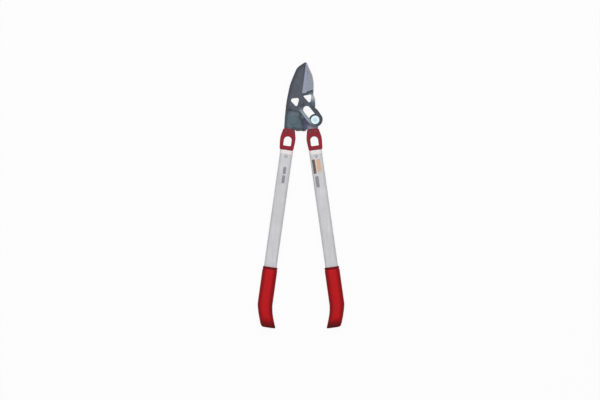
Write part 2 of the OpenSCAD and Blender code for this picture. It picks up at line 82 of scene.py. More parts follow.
# Floor and light: a plain white table under one broad lamp above the jaws, a weaker one beside
# it and an even white room. The table keeps the tool's soft shadow.
def srgb(colour):
    """Linear RGBA of a colour written as sRGB hex."""
    parts = [int(colour[i:i + 2], 16) / 255 for i in (1, 3, 5)]
    return (*(p / 12.92 if p <= 0.04045 else ((p + 0.055) / 1.055) ** 2.4 for p in parts), 1)


def node(tree, kind, sockets, **settings):
    """Adds a shader node; a Mix mixes colours. A socket takes a value, another node for its first
    output, or a pair of a node and one of its outputs."""
    made = tree.nodes.new("ShaderNode" + kind)
    if kind == "Mix":
        made.data_type = "RGBA"
    for name, value in settings.items():
        setattr(made, name, value)
    for socket, value in sockets.items():
        if isinstance(value, bpy.types.Node):
            value = (value, 0)
        if isinstance(value, tuple) and isinstance(value[0], bpy.types.Node):
            tree.links.new(value[0].outputs[value[1]], made.inputs[socket])
        else:
            made.inputs[socket].default_value = value
    return made


def new_material(name):
    """A material without a shader, the function that adds nodes to it, and a point's place."""
    material = bpy.data.materials.new(name)
    material.use_nodes = True
    material.node_tree.nodes.clear()
    add = partial(node, material.node_tree)
    return material, add, (add("TexCoord", {}), "Object")


def rays_that_show(add):
    """The node that tells rays apart, and a node that is 1 for rays that show a surface and 0 for
    rays that only carry light."""
    ray = add("LightPath", {})
    seen = (ray, "Is Camera Ray")
    for way in ("Is Glossy Ray", "Is Transmission Ray"):
        seen = add("Math", {0: seen, 1: (ray, way)}, operation="MAXIMUM")
    return ray, seen


floor_side = 12000
floor_drop = 0.2
floor_white = srgb("#f4f4f4")
room_white = srgb("#ffffff")
shown_white = 0.93
room_strength = 0.35
lamps = {
    "lamp_above": {"at": (200, 900, 2100), "across": 3400, "watts": 34},
    "lamp_beside": {"at": (-1300, -200, 1500), "across": 1400, "watts": 3},
}

grid = bmesh.new()
bmesh.ops.create_grid(grid, x_segments=8, y_segments=8, size=floor_side / 2 * MM)
floor_mesh = bpy.data.meshes.new("floor")
grid.to_mesh(floor_mesh)
grid.free()
floor = bpy.data.objects.new("floor", floor_mesh)
floor.location.z = -floor_drop * MM
bpy.context.scene.collection.objects.link(floor)

# White laminate: matt and even, with the faint cloudiness of a wiped surface
white_laminate, add, place = new_material("white_laminate")
cloud = add("TexNoise", {"Vector": place, "Scale": 1 / (400 * MM)})
tone = add("Mix", {0: cloud, 6: floor_white, 7: srgb("#f8f8f8")})
ray, seen = rays_that_show(add)
tone = add("Mix", {0: (ray, "Is Camera Ray"), 6: srgb("#a8a8a8"), 7: (tone, 2)})
lit = add("BsdfDiffuse", {"Color": (tone, 2)})
glow = add("Emission", {"Color": room_white, "Strength": 1})
share = add("Math", {0: seen, 1: shown_white}, operation="MULTIPLY")
mixed = add("MixShader", {0: share, 1: lit, 2: glow})
add("OutputMaterial", {"Surface": mixed})
floor.data.materials.append(white_laminate)

room = bpy.data.worlds.new("white_room")
room.use_nodes = True
room.node_tree.nodes.clear()
add = partial(node, room.node_tree)
_, seen = rays_that_show(add)
level = add("MapRange", {"Value": seen, "To Min": room_strength, "To Max": 1})
air = add("Background", {"Color": room_white, "Strength": level})
add("OutputWorld", {"Surface": air})
bpy.context.scene.world = room

for name, lamp in lamps.items():
    light = bpy.data.objects.new(name, bpy.data.lights.new(name, "AREA"))
    light.data.shape = "DISK"
    light.data.size = lamp["across"] * MM
    light.data.energy = lamp["watts"]
    light.location = Vector(lamp["at"]) * MM
    light.rotation_euler = light.location.to_track_quat("Z", "Y").to_euler()
    bpy.context.scene.collection.objects.link(light)


# Anvil frame: the fixed plate that carries the anvil, both pivots and the left handle. Pressed
# from 7 mm steel, its edges tumbled smooth, with a grey satin coating baked on.
weld = 0.0005 * MM
on_plane = 0.0001 * MM
least_bend = 0.002


def outlines(name, level):
    """Outlines of a CAD node at a height: the outer one first, each a list of points in mm. Points
    with hardly a bend are left out."""
    solid = bmesh.new()
    solid.from_mesh(frame["nodes"][name].data)
    bmesh.ops.remove_doubles(solid, verts=solid.verts, dist=weld)
    bmesh.ops.bisect_plane(
        solid, geom=[*solid.verts, *solid.edges, *solid.faces], dist=on_plane,
        plane_co=(0, 0, level * MM), plane_no=(0, 0, 1), clear_inner=True, clear_outer=True,
    )
    bmesh.ops.remove_doubles(solid, verts=solid.verts, dist=weld)
    left = set(solid.verts)
    found = []
    while left:
        here = min(left, key=lambda v: (v.co.x, v.co.y))
        loop = []
        while here:
            left.discard(here)
            loop.append(here.co.xy / MM)
            others = (e.other_vert(here) for e in here.link_edges)
            here = next((v for v in others if v in left), None)
        found.append([
            p for before, p, after in zip([loop[-1], *loop], loop, [*loop[1:], loop[0]])
            if abs((p - before).normalized().cross((after - p).normalized())) > least_bend
        ])
    solid.free()
    found.sort(key=lambda loop: -abs(area(loop)))
    return [loop if (area(loop) > 0) == (i == 0) else loop[::-1] for i, loop in enumerate(found)]


def area(loop):
    """Area inside a loop of points, above zero where it runs anticlockwise."""
    return sum(a.cross(b) for a, b in zip(loop, [*loop[1:], loop[0]])) / 2


def middle(loop):
    """Middle of a loop and its mean distance from there: centre and radius of a round hole."""
    centre = sum(loop, Vector((0, 0))) / len(loop)
    return centre, sum((p - centre).length for p in loop) / len(loop)


def inset(loop, depth):
    """Loop moved into the material on its left by a depth. Points that would cross in a sharp tip
    are drawn together."""
    moved = []
    for i, p in enumerate(loop):
        a = (p - loop[i - 1]).normalized()
        b = (loop[(i + 1) % len(loop)] - p).normalized()
        side = Vector((-a.y - b.y, a.x + b.x))
        moved.append(p + side * depth / max(0.5, 1 + a.dot(b)))
    for _ in loop:
        crossed = [
            i for i, p in enumerate(loop) if (moved[i] - moved[i - 1]).dot(p - loop[i - 1]) < 0
        ]
        for i in crossed:
            moved[i] = (moved[i] + moved[i - 1]) / 2
            moved[i - 1] = moved[i].copy()
        if not crossed:
            break
    return moved


def join_rings(bm, rings):
    """Faces between rings of equally many vertices."""
    for low, high in zip(rings, rings[1:]):
        for i in range(len(low)):
            j = (i + 1) % len(low)
            bm.faces.new((low[i], low[j], high[j], high[i]))


def add_plate(bm, loops, low, high, low_r, high_r, hole_r=None):
    """Adds a flat plate between two heights to bm, its edges rounded by arcs of the given radii.
    The layer named edge is 1 on the round edges and 0 on the flat faces."""
    wear_and_highlight = bm.verts.layers.float.get("edge") or bm.verts.layers.float.new("edge")
    steps = 4
    turn = [i / steps * math.pi / 2 for i in range(steps + 1)]
    caps = {0: [], 1: []}
    for k, loop in enumerate(loops):
        r0, r1 = (low_r, high_r) if k == 0 or hole_r is None else (hole_r, hole_r)
        arc = [(1 - math.sin(t), 1 - math.cos(t)) for t in turn]
        profile = [(r0 * a, low + r0 * b) for a, b in (arc if r0 else arc[:1])]
        profile += [(r1 * b, high - r1 * a) for a, b in (arc if r1 else arc[:1])]
        rings = []
        for i, (depth, z) in enumerate(profile):
            ring = [bm.verts.new((*(p * MM), z * MM)) for p in inset(loop, depth)]
            for v in ring:
                v[wear_and_highlight] = 0 if i in (0, len(profile) - 1) else 1
            rings.append(ring)
        join_rings(bm, rings)
        caps[0].append(rings[0])
        caps[1].append(rings[-1])
    for end, rings in caps.items():
        verts = [v for ring in rings for v in ring]
        for tri in tessellate_polygon([[v.co for v in ring] for ring in rings]):
            corners = [verts[i] for i in tri]
            up = (corners[1].co - corners[0].co).cross(corners[2].co - corners[0].co).z > 0
            if len(set(corners)) == 3:
                bm.faces.new(corners if up == (end == 1) else corners[::-1])
    bmesh.ops.dissolve_degenerate(bm, dist=weld, edges=bm.edges)


def ease(t):
    """Smooth step from 0 to 1."""
    t = max(0, min(1, t))
    return t * t * (3 - 2 * t)


def shade_rim(bm, loops, reach, bright):
    """Cuts a plate into a grid and fills a painted-shade layer: 1 at its outlines, 0 a reach
    inside.
    Outlines at a place that is bright, seen from the main pivot, don't count."""
    rim = bm.verts.layers.float.new("rim")
    grid_step = reach / 5
    dot_step = 0.5
    dots = []
    for loop in loops:
        for a, b in zip(loop, [*loop[1:], loop[0]]):
            parts = max(1, round((b - a).length / dot_step))
            dots += [a.lerp(b, k / parts) for k in range(parts)]
    near = KDTree(len(dots))
    for i, dot in enumerate(dots):
        if not bright(dot - main_pivot):
            near.insert((*dot, 0), i)
    near.balance()
    for axis in (Vector((1, 0, 0)), Vector((0, 1, 0))):
        places = [dot.dot(axis.xy) for dot in dots]
        for k in range(1, math.ceil((max(places) - min(places)) / grid_step)):
            bmesh.ops.bisect_plane(
                bm, geom=[*bm.verts, *bm.edges, *bm.faces], dist=on_plane,
                plane_co=axis * (min(places) + k * grid_step) * MM, plane_no=axis,
            )
    bmesh.ops.dissolve_degenerate(bm, dist=weld, edges=bm.edges)
    for v in bm.verts:
        away = near.find((*(v.co.xy / MM), 0))[2]
        v[rim] = max(0, 1 - away / reach)


def add_turned(bm, centre, profile, sides=48):
    """Adds a piece turned about an upright axis to bm. The profile runs up the outside in mm, from
    the axis or the bore, as radius and height, with a third item where that ring is a hexagon."""
    wear_and_highlight = bm.verts.layers.float.get("edge") or bm.verts.layers.float.new("edge")
    sharp_bend = math.radians(20)
    rings = []
    for radius, z, *hexagon in profile:
        ring = []
        for i in range(sides):
            a = math.tau * i / sides
            r = radius / math.cos(a % (math.pi / 3) - math.pi / 6) if hexagon else radius
            ring.append(bm.verts.new((
                (centre[0] + r * math.cos(a)) * MM, (centre[1] + r * math.sin(a)) * MM, z * MM,
            )))
        rings.append(ring)
    for i in range(1, len(profile) - 1):
        before, here, after = (Vector(profile[k][:2]) for k in (i - 1, i, i + 1))
        for v in rings[i]:
            v[wear_and_highlight] = 1 if (here - before).angle(after - here) > sharp_bend else 0
    join_rings(bm, rings)
    if profile[0][0] == profile[-1][0] and profile[0][0] > 0:
        join_rings(bm, [rings[-1], rings[0]])
    else:
        bm.faces.new(rings[0][::-1])
        bm.faces.new(rings[-1])


def make_piece(name, bm, materials, body, nodes, crease=40):
    """Turns bm into a piece with smooth shading that rides a body and stands for CAD nodes."""
    bmesh.ops.recalc_face_normals(bm, faces=bm.faces)
    mesh = bpy.data.meshes.new(name)
    bm.to_mesh(mesh)
    bm.free()
    mesh.shade_smooth()
    mesh.set_sharp_from_angle(angle=math.radians(crease))
    piece = bpy.data.objects.new(name, mesh)
    bpy.context.scene.collection.objects.link(piece)
    for material in materials:
        mesh.materials.append(material)
    even = piece.modifiers.new("even_shading", "WEIGHTED_NORMAL")
    even.keep_sharp = True
    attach(piece, body)
    if nodes:
        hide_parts(*nodes)
    return piece


def heights(name):
    """Lowest and highest level of a CAD node in mm."""
    return (corner.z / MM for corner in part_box(name))


def radius(name):
    """Radius in mm of a round CAD node, from its width."""
    low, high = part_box(name)
    return (high.x - low.x) / 2 / MM


def finish_material(add, colour, sockets, rough, bump=None):
    """Ends a material with a shader of this colour. The roughness is a pattern with its values at 0
    and 1, and the bump a pattern with its strength and its depth in mm."""
    pattern, low, high = rough
    rough = add("MapRange", {"Value": pattern, "To Min": low, "To Max": high})
    sockets = {"Base Color": (colour, 2), "Roughness": rough, **sockets}
    if bump:
        pattern, strength, depth = bump
        bump = add("Bump", {"Height": pattern, "Strength": strength, "Distance": depth * MM})
        sockets["Normal"] = bump
    skin = add("BsdfPrincipled", sockets)
    add("OutputMaterial", {"Surface": skin})


def darken_rim(add, colour, amount, dark):
    """Mixes a dark colour in along the outline as painted shade, by the rim layer."""
    rim = add("Attribute", {}, attribute_name="rim")
    share = add(
        "MapRange", {"Value": (rim, "Fac"), "From Min": 0.2, "From Max": 0.6, "To Max": amount},
        interpolation_type="SMOOTHSTEP",
    )
    return add("Mix", {0: share, 6: (colour, 2), 7: srgb(dark)})


def rub_edges(add, colour, pattern, amount, pale):
    """Mixes a pale colour in on the edges, by the layer named edge, where a pattern is high."""
    edge = add("Attribute", {}, attribute_name="edge")
    edge_pale_share = add("Math", {0: pattern, 1: (edge, "Fac")}, operation="MULTIPLY")
    edge_pale_share = add("Math", {0: edge_pale_share, 1: amount}, operation="MULTIPLY")
    return add("Mix", {0: edge_pale_share, 6: (colour, 2), 7: srgb(pale)})


joint_at = {j["name"]: Vector(j["pos_m"][:2]) / MM for j in frame["joints"]}
main_pivot = joint_at["blade_swing"]
lever_pivot = joint_at["handle_swing"]
drive_at = joint_at["roller_spin"]
frame_low, boss_top = heights("anvil_frame")
frame_t = 7
frame_top = frame_low + frame_t
frame_low_r, frame_top_r, frame_hole_r = 0.8, 1.2, 0.5
# A boss starts this far inside its plate, and a turned piece closes on its axis with a tiny ring
rooted = 1
axis_r = 0.01
boss_r = 8.5
boss_chamfer = 0.6
bolt_r = 4.5
pad_at = main_pivot + Vector((-23, -47))
pad_r = 12.5
pad_h = 1.8
pad_dome = ((0, 1.2), (0.4, 0.6), (1.2, 0.3), (4, 0.1))
# Seen from the main pivot: where the outline is left without painted shade, where the arm is
# paler, and where painted light lies under the blade's heel
rim_reach = 14
arm_from = Vector((15, -15))
neck_from, neck_reach = -35, 34
arm_inside = 18
pale_middle = 17
pale_reach = 16
pale_fade = 6
heel_light = 0.18
heel_light_at = Vector((-18, -26))
heel_light_half = Vector((16, 14))

# Satin baked coating on pressed steel: grey with a fine pebble from the spray, and painted shade
# along the outline. The corners are rubbed a little brighter, the arm is paler on its upper part,
# and painted light lifts the blade's shadow on the plate below the heel
satin_coating, add, place = new_material("satin_coated_steel")
cloud = add("TexNoise", {"Vector": place, "Scale": 1 / (14 * MM), "Detail": 4})
grey = add("Mix", {0: cloud, 6: srgb("#465864"), 7: srgb("#62757e")})
# Painted shade: the plate is darkened along its outline
grey = darken_rim(add, grey, 0.65, "#27343b")
chips = add("TexNoise", {"Vector": place, "Scale": 1 / (5 * MM), "Detail": 3})
# Paler on the arm's upper part, and painted light on the plate under the blade's heel
pale_and_painted_light = add("Attribute", {}, attribute_name="pale_and_painted_light")
patchy = add("MapRange", {"Value": chips, "From Min": 0.2, "From Max": 0.6, "To Min": 0.8})
bare_and_lit = add("Math", {0: (pale_and_painted_light, "Fac"), 1: patchy}, operation="MULTIPLY")
grey = add("Mix", {0: bare_and_lit, 6: (grey, 2), 7: srgb("#bcc1c5")})
spots = add("MapRange", {"Value": chips, "From Min": 0.45, "From Max": 0.75})
colour = rub_edges(add, grey, spots, 0.4, "#7d8a92")
pebble = add("TexNoise", {"Vector": place, "Scale": 1 / (0.9 * MM), "Detail": 2})
finish_material(
    add, colour, {"Specular IOR Level": 0.3},
    rough=(cloud, 0.42, 0.58), bump=(pebble, 0.25, 0.12),
)

bm = bmesh.new()
frame_loops = outlines("anvil_frame", frame_low + frame_t / 2)
add_plate(bm, frame_loops, frame_low, frame_top, frame_low_r, frame_top_r, frame_hole_r)
# Painted shade along the plate's outline, left out where the outline is bright
shade_rim(
    bm, frame_loops[:1], rim_reach,
    lambda at: (at.y > arm_from.y and at.x > arm_from.x)
    or (at.y > neck_from and abs(at.x) < neck_reach),
)
# Pale on the arm's upper part, and painted light that lifts the blade's shadow below its heel
pale_and_painted_light = bm.verts.layers.float.new("pale_and_painted_light")
for v in bm.verts:
    at = v.co.xy / MM - main_pivot
    on_arm = ease((at.x - arm_inside) / pale_fade) * ease(1 - abs(at.y - pale_middle) / pale_reach)
    heel_painted_light = heel_light * ease((heel_light_half.x - abs(at.x - heel_light_at.x)) / pale_fade)
    heel_painted_light *= ease(1 - abs(at.y - heel_light_at.y) / heel_light_half.y)
    v[pale_and_painted_light] = max(on_arm, heel_painted_light)
add_turned(bm, main_pivot, [
    (bolt_r, frame_top - rooted), (boss_r, frame_top - rooted), (boss_r, boss_top - boss_chamfer),
    (boss_r - boss_chamfer, boss_top), (bolt_r, boss_top),
])
pad_top = frame_top + pad_h
add_turned(bm, pad_at, [
    (axis_r, frame_top - rooted), (pad_r, frame_top - rooted),
    *((pad_r - set_in, pad_top - down) for set_in, down in pad_dome), (axis_r, pad_top),
], sides=64)
make_piece("frame_plate", bm, [satin_coating], "anvil_side", ["anvil_frame"])

# Anvil shoe: the soft block that the blade closes on. Die-cast aluminium alloy, bead blasted, and
# held from below by two countersunk steel screws.
shoe_low, shoe_top = heights("anvil_shoe")
shoe_cut = shoe_top - 1
shoe_low_r, shoe_top_r = 0.6, 1.8
screw_r = 2.5
screw_low, screw_top = heights("anvil_screws")
screw_cut = screw_top - 2
screw_brim = 0.2
screw_chamfer = 0.5
screw_socket_r, screw_socket_h = 2, 1.6

# Bead-blasted cast alloy: pale, dull and slightly violet, with a fine frosted grain, the faint flow
# marks of the casting, and paler on all its rounded edges
blasted_alloy, add, place = new_material("blasted_cast_alloy")
flow = add("Mapping", {"Vector": place, "Scale": (1, 0.25, 1)})
cloud = add("TexNoise", {"Vector": flow, "Scale": 1 / (7 * MM), "Detail": 5})
colour = add("Mix", {0: cloud, 6: srgb("#777a87"), 7: srgb("#8c8f9b")})
grain = add("TexNoise", {"Vector": place, "Scale": 1 / (0.5 * MM), "Detail": 2})
edge = add("Attribute", {}, attribute_name="edge")
edge_pale_share = add("Math", {0: (edge, "Fac"), 1: 0.6}, operation="MULTIPLY")
colour = add("Mix", {0: edge_pale_share, 6: (colour, 2), 7: srgb("#b4b7c2")})
finish_material(add, colour, {"Metallic": 0.6}, rough=(cloud, 0.5, 0.66), bump=(grain, 0.3, 0.1))

bm = bmesh.new()
shoe_loop = outlines("anvil_shoe", shoe_cut)[0]
add_plate(bm, [shoe_loop], shoe_low, shoe_top, shoe_low_r, shoe_top_r)
make_piece("shoe_block", bm, [blasted_alloy], "anvil_side", ["anvil_shoe"])

# Turned steel: bright and clean, with the fine marks that the cutting tool leaves. Real marks are
# some 0.1 mm apart and are drawn at 0.4 mm, so that they show
turned_steel, add, place = new_material("turned_steel")
marks = add("TexNoise", {"Vector": place, "Scale": 1 / (0.4 * MM), "Detail": 2})
cloud = add("TexNoise", {"Vector": place, "Scale": 1 / (4 * MM), "Detail": 3})
colour = add("Mix", {0: cloud, 6: srgb("#a7abb2"), 7: srgb("#c3c7cd")})
finish_material(add, colour, {"Metallic": 1}, rough=(cloud, 0.28, 0.42), bump=(marks, 0.15, 0.05))

bm = bmesh.new()
holes = [middle(loop) for loop in outlines("anvil_screws", screw_cut)]
for centre, _ in holes:
    add_turned(bm, centre, [
        (screw_socket_r, screw_low + screw_socket_h, "hexagon"),
        (screw_socket_r, screw_low, "hexagon"),
        (2 * screw_r - screw_brim, screw_low), (2 * screw_r, screw_low + screw_brim),
        (screw_r, screw_low + screw_r), (screw_r, screw_top - screw_chamfer),
        (screw_r - screw_chamfer, screw_top),
    ], sides=36)
make_piece("shoe_screws", bm, [turned_steel], "anvil_side", ["anvil_screws"])

# Blade: a hardened carbon steel plate ground to an edge from both sides, with a straight slot in
# its tail for the drive roller. A dark low-friction coating covers all but the ground bevel.
jaw_l = 115
edge_heel = main_pivot + jaw_l * Vector((0.097, 0.261))
edge_tip = main_pivot + jaw_l * Vector((0.139, 1))
edge_dir = (edge_tip - edge_heel).normalized()
edge_out = Vector((edge_dir.y, -edge_dir.x))
bevel_w = 10
bare_tip_w = 3.5
runout_from, runout_to = -2, 1
edge_t = 0.6
hair = 0.01
on_bevel = 0.001 * MM
blade_low, blade_top = heights("blade")
blade_mid = (blade_low + blade_top) / 2
blade_t = blade_top - blade_low
blade_edge_r, blade_hole_r = 0.9, 0.6
neck_to = 30
# Painted highlight on the tail's arm, from the slot's line and along it, and the honed line
# behind the edge
slot_dir = (drive_at - main_pivot).normalized()
slot_side = Vector((-slot_dir.y, slot_dir.x))
slot_line = main_pivot.dot(slot_side)
slot_start = main_pivot.dot(slot_dir)
highlight_beside = (7, 10)
highlight_from = (6, 20)
highlight_to = (50, 64)
edge_line = edge_heel.dot(edge_out)
honed_from, honed_to = 4, 2

# Dark low-friction coating: blue-grey and smooth, a little cloudy, with painted shade along the
# outline and the faint drag marks of cut wood across it. A painted highlight lies on the tail's arm
# beside the lever
dark_coating, add, place = new_material("dark_coated_steel")
cloud = add("TexNoise", {"Vector": place, "Scale": 1 / (16 * MM), "Detail": 4})
across = add("Mapping", {"Vector": place, "Scale": (0.08, 1, 1)})
drag = add("TexNoise", {"Vector": across, "Scale": 1 / (1.6 * MM), "Detail": 3})
drag = add("MapRange", {
    "Value": drag, "From Min": 0.35, "From Max": 0.75, "To Min": -0.15, "To Max": 0.35,
})
shade = add("Math", {0: cloud, 1: drag}, operation="ADD")
grey = add("Mix", {0: shade, 6: srgb("#3b404b"), 7: srgb("#585e6a")})
# Painted shade along the outline
grey = darken_rim(add, grey, 0.55, "#23292e")
chips = add("TexNoise", {"Vector": place, "Scale": 1 / (6 * MM), "Detail": 4})
# Painted highlight: the tail's arm beside the slot is mixed pale, where it catches the light
beside = add("VectorMath", {0: place, 1: (*slot_side, 0)}, operation="DOT_PRODUCT")
along = add("VectorMath", {0: place, 1: (*slot_dir, 0)}, operation="DOT_PRODUCT")
arm = add("MapRange", {
    "Value": (beside, "Value"),
    "From Min": (slot_line - highlight_beside[0]) * MM, "From Max": (slot_line - highlight_beside[1]) * MM,
})
begin = add("MapRange", {
    "Value": (along, "Value"), "To Max": 0.95,
    "From Min": (slot_start + highlight_from[0]) * MM, "From Max": (slot_start + highlight_from[1]) * MM,
})
stop = add("MapRange", {
    "Value": (along, "Value"), "To Min": 1, "To Max": 0.2,
    "From Min": (slot_start + highlight_to[0]) * MM, "From Max": (slot_start + highlight_to[1]) * MM,
})
wear_and_highlight = add("Math", {0: arm, 1: begin}, operation="MULTIPLY")
wear_and_highlight = add("Math", {0: wear_and_highlight, 1: stop}, operation="MULTIPLY")
patchy = add("MapRange", {"Value": chips, "From Min": 0.2, "From Max": 0.6, "To Min": 0.7})
wear_and_highlight = add("Math", {0: wear_and_highlight, 1: patchy}, operation="MULTIPLY")
grey = add("Mix", {0: wear_and_highlight, 6: (grey, 2), 7: srgb("#9ba8b3")})
spots = add("MapRange", {"Value": chips, "From Min": 0.5, "From Max": 0.75})
colour = rub_edges(add, grey, spots, 0.4, "#747983")
peel = add("TexNoise", {"Vector": place, "Scale": 1 / (1.2 * MM), "Detail": 1})
finish_material(
    add, colour, {"Specular IOR Level": 0.3},
    rough=(shade, 0.36, 0.54), bump=(peel, 0.15, 0.08),
)

# Ground steel: bare and pale, with grinding lines that run from the back to the edge and a brighter
# honed line on it. The lines are some 0.05 mm wide in truth and are drawn at 0.5 mm, to show
ground_steel, add, place = new_material("ground_steel")
along = add("Mapping", {"Vector": place, "Scale": (0.05, 1, 1)})
lines = add("TexNoise", {"Vector": along, "Scale": 1 / (0.5 * MM), "Detail": 3})
colour = add("Mix", {0: lines, 6: srgb("#65687a"), 7: srgb("#797c8d")})
outward = add("VectorMath", {0: place, 1: (*edge_out, 0)}, operation="DOT_PRODUCT")
honed = add("MapRange", {
    "Value": (outward, "Value"),
    "From Min": (edge_line - honed_from) * MM, "From Max": (edge_line - honed_to) * MM,
})
colour = add("Mix", {0: honed, 6: (colour, 2), 7: srgb("#7d8091")})
finish_material(add, colour, {"Metallic": 1}, rough=(lines, 0.3, 0.46), bump=(lines, 0.2, 0.04))

bm = bmesh.new()
blade_loops = outlines("blade", blade_mid)
add_plate(bm, blade_loops, blade_low, blade_top, blade_edge_r, blade_edge_r, blade_hole_r)
# Painted shade along the blade's outline, left out at the neck where it is bright
shade_rim(bm, blade_loops[:1], rim_reach, lambda at: at.y < neck_to and abs(at.x) < neck_reach)
border = edge_heel - bevel_w * edge_out
bare_end = edge_tip - bare_tip_w * edge_out
bare_out = Vector((bare_end.y - border.y, border.x - bare_end.x)).normalized()
cuts = [(border, edge_out), (border, bare_out)]
cuts += [(edge_heel + at * edge_dir, edge_dir) for at in (runout_from, runout_to)]
for through, out in cuts:
    bmesh.ops.bisect_plane(
        bm, geom=[*bm.verts, *bm.edges, *bm.faces], dist=on_bevel,
        plane_co=(*(through * MM), 0), plane_no=(*out, 0),
    )


def from_edge(point):
    """Distance of a point from the cutting edge in mm, towards the back of the blade."""
    return (edge_heel - point.xy / MM).dot(edge_out)


def ground_share(point):
    """How much of the bevel is ground at a point: 1 along the edge, down to 0 over the run-out at
    its heel."""
    along = (point.xy / MM - edge_heel).dot(edge_dir)
    share = (along - runout_from) / (runout_to - runout_from)
    return max(0, min(1, share)) if from_edge(point) < bevel_w + hair else 0


for v in bm.verts:
    ground = ground_share(v.co) * (1 - min(1, max(0, from_edge(v.co)) / bevel_w))
    half = (blade_t - ground * (blade_t - edge_t)) / 2
    v.co.z = max(blade_mid - half, min(blade_mid + half, v.co.z / MM)) * MM
for face in bm.faces:
    centre = face.calc_center_median()
    if ground_share(centre) > 0 and (centre.xy / MM - border).dot(bare_out) > hair:
        face.material_index = 1
blade_skins = [dark_coating, ground_steel]
make_piece("blade_plate", bm, blade_skins, "blade_side", ["blade"], crease=20)

# Main pivot: a black bolt with a low round head holds the blade to the frame. The blade turns on
# a sintered bronze bush, and washers and a locking nut hold the bolt.
bush_r = radius("blade_bush")
washer_r = radius("main_washers")
washer_t = 1.2
washer_soft = 0.3
bush_clear = 0.05
bush_soft = 0.2
bolt_low, bolt_top = heights("main_bolt")
head_r = radius("main_bolt")
head_h = 4.5
head_brim = 0.2
crown_from = 1
crown_turns = (0.2, 0.5, 0.8, 1.05, 1.2)
bolt_chamfer = 0.7
socket_r = 2.6
socket_lip, socket_rim, socket_floor = (bolt_top - down for down in (0.1, 2.4, 2.9))
nut_low, nut_top = heights("main_nut")
nut_flat_r = radius("main_nut") * math.cos(math.pi / 6)
nut_taper, nut_chamfer = 0.1, 0.7
run_gap = 0.3

# Black oxide on turned steel: almost black with a dull oily sheen, rubbed to grey at the edges
black_oxide, add, place = new_material("black_oxide_steel")
cloud = add("TexNoise", {"Vector": place, "Scale": 1 / (3 * MM), "Detail": 4})
black = add("Mix", {0: cloud, 6: srgb("#33373f"), 7: srgb("#474c55")})
colour = rub_edges(add, black, cloud, 0.5, "#7d828b")
grain = add("TexNoise", {"Vector": place, "Scale": 1 / (0.6 * MM)})
finish_material(add, colour, {"Metallic": 0.5}, rough=(cloud, 0.34, 0.5), bump=(grain, 0.15, 0.05))

# Sintered bronze: warm brown and grainy, darkened by the oil in its pores
sintered_bronze, add, place = new_material("sintered_bronze")
pores = add("TexVoronoi", {"Vector": place, "Scale": 1 / (0.7 * MM)})
colour = add("Mix", {0: pores, 6: srgb("#6e512b"), 7: srgb("#a8834a")})
finish_material(add, colour, {"Metallic": 1}, rough=(pores, 0.5, 0.35), bump=(pores, 0.2, 0.05))


def ring_profile(bore_r, outer_r, low, high, soft):
    """Profile of a flat ring with its outer corners broken."""
    return [
        (bore_r, low), (outer_r - soft, low), (outer_r, low + soft), (outer_r, high - soft),
        (outer_r - soft, high), (bore_r, high),
    ]


bm = bmesh.new()
add_turned(bm, main_pivot, ring_profile(
    bolt_r + bush_clear, bush_r, blade_low, blade_top, bush_soft,
))
make_piece("pivot_bush", bm, [sintered_bronze], "blade_side", ["blade_bush"])

bm = bmesh.new()
head_low = bolt_top - head_h
crown = [
    (head_r * math.cos(a), head_low + crown_from + (head_h - crown_from) * math.sin(a))
    for a in crown_turns
]
add_turned(bm, main_pivot, [
    (axis_r, bolt_low), (bolt_r - bolt_chamfer, bolt_low), (bolt_r, bolt_low + bolt_chamfer),
    (bolt_r, head_low), (head_r - head_brim, head_low), (head_r, head_low + head_brim), *crown,
    (socket_r, socket_lip, "hexagon"), (socket_r, socket_rim, "hexagon"), (axis_r, socket_floor),
])
make_piece("pivot_bolt", bm, [black_oxide], "anvil_side", ["main_bolt"], crease=30)

bm = bmesh.new()
add_turned(bm, main_pivot, [
    (bolt_r, nut_low), (nut_flat_r - nut_taper, nut_low),
    (nut_flat_r, nut_low + nut_chamfer, "hexagon"), (nut_flat_r, nut_top - nut_chamfer, "hexagon"),
    (nut_flat_r - nut_taper, nut_top), (bolt_r, nut_top),
])
make_piece("pivot_nut", bm, [black_oxide], "anvil_side", ["main_nut"], crease=30)

bm = bmesh.new()
for low in (frame_low - washer_t, blade_top + run_gap):
    add_turned(bm, main_pivot, ring_profile(bolt_r, washer_r, low, low + washer_t, washer_soft))
make_piece("pivot_washers", bm, [black_oxide], "anvil_side", ["main_washers"])

# Drive lever: a forged steel arm on the right handle, with its tang held in the coupling. It
# turns on a pin in the frame, with a bronze bush and a washer sunk in a pocket.
lever_low, lever_top = heights("lever")
tang_top = lever_low + 3.6
tang_cut, arm_cut = lever_low + 1, lever_top - 0.5
tang_low_r, lever_top_r, lever_hole_r = 0.6, 1, 0.3
lever_rub_from = Vector((12, -58))
lever_rub_fade = Vector((10, 7))
pin_r = 4
pin_head_r = radius("lever_pin")
pin_head_h = 3.5
pin_dome = ((2.5, 0.2), (0.6, 1), (0, 2))
pin_chamfer = 0.8
pin_centre_r = 1.4
pin_low, pin_top = heights("lever_pin")
lever_bush_low, lever_bush_top = heights("lever_bush")
pin_washer_low, pin_washer_top = heights("lever_pin_washer")
pin_washer_r = radius("lever_pin_washer")
lever_bush_r = radius("lever_bush")

# Shot-blasted forging under a thin grey coating: darker and rougher than the pressed frame, its
# dark tone partly painted shade, with painted shade along its outline, and rubbed pale on the
# shoulder beside the coupling
coated_forging, add, place = new_material("coated_forging")
cloud = add("TexNoise", {"Vector": place, "Scale": 1 / (9 * MM), "Detail": 5})
grey = add("Mix", {0: cloud, 6: srgb("#373b4f"), 7: srgb("#545972")})
